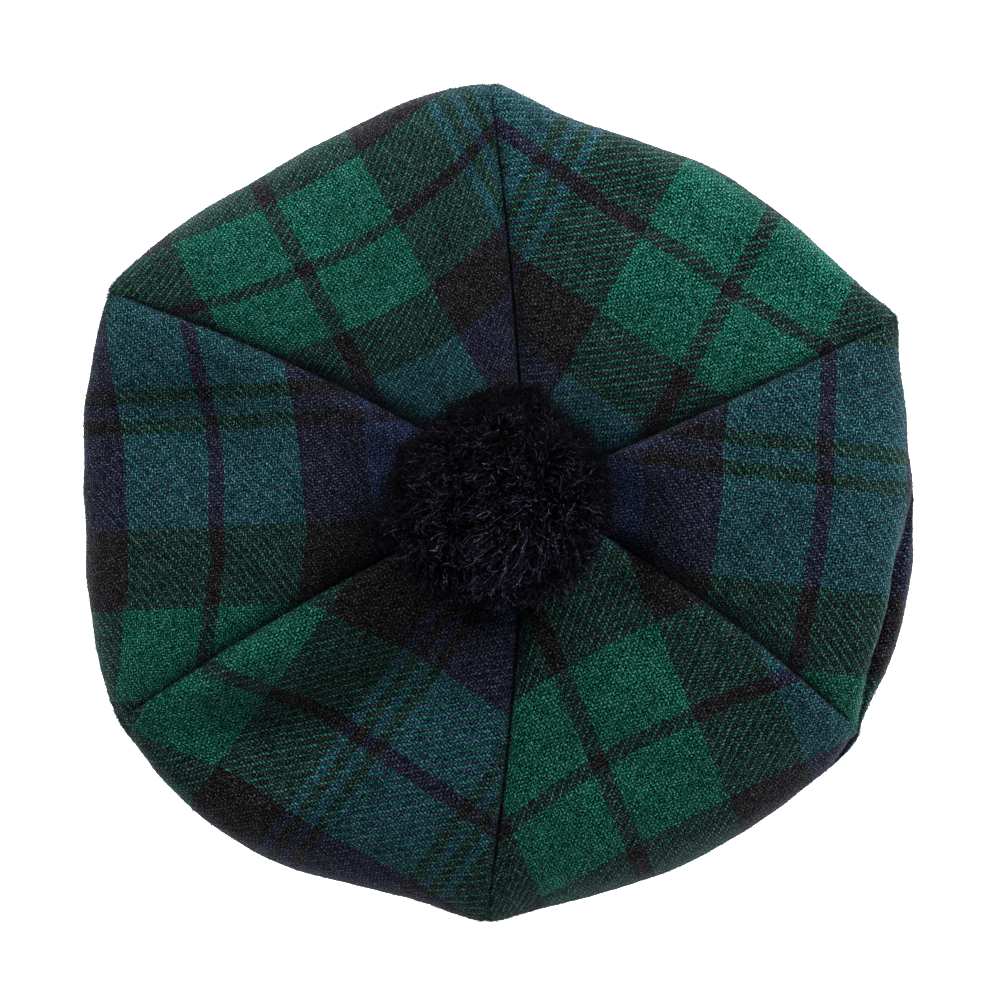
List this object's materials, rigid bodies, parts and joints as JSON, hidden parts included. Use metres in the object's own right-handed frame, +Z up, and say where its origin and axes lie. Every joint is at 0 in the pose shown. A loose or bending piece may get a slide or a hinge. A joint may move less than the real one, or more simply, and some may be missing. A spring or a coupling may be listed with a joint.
{
  "type": "tam o shanter",
  "caption": "Round flat woollen cap in tartan twill gores on a headband, with a pompom on the crown, lying as it rests unworn.",
  "frame": {"origin": "on the surface the hat lies on, under the middle of its footprint", "axes": "+Z up, +Y towards the back of the hat, which is the top of the picture, +X to the right in the picture"},
  "size_m": [0.2801, 0.2814, 0.0951],
  "materials": {
    "tartan_twill": "matt woollen twill in a green, blue and black tartan",
    "headband_cloth": "matt woollen cloth",
    "toorie_yarn": "matt cut woollen yarn, navy black"
  },
  "bodies": {
    "root": {"gore_back_right": "tartan_twill", "gore_back_left": "tartan_twill", "gore_left": "tartan_twill", "gore_front_left": "tartan_twill", "gore_front_right": "tartan_twill", "gore_right": "tartan_twill", "headband": "headband_cloth", "toorie": "toorie_yarn"}
  },
  "joints": []
}
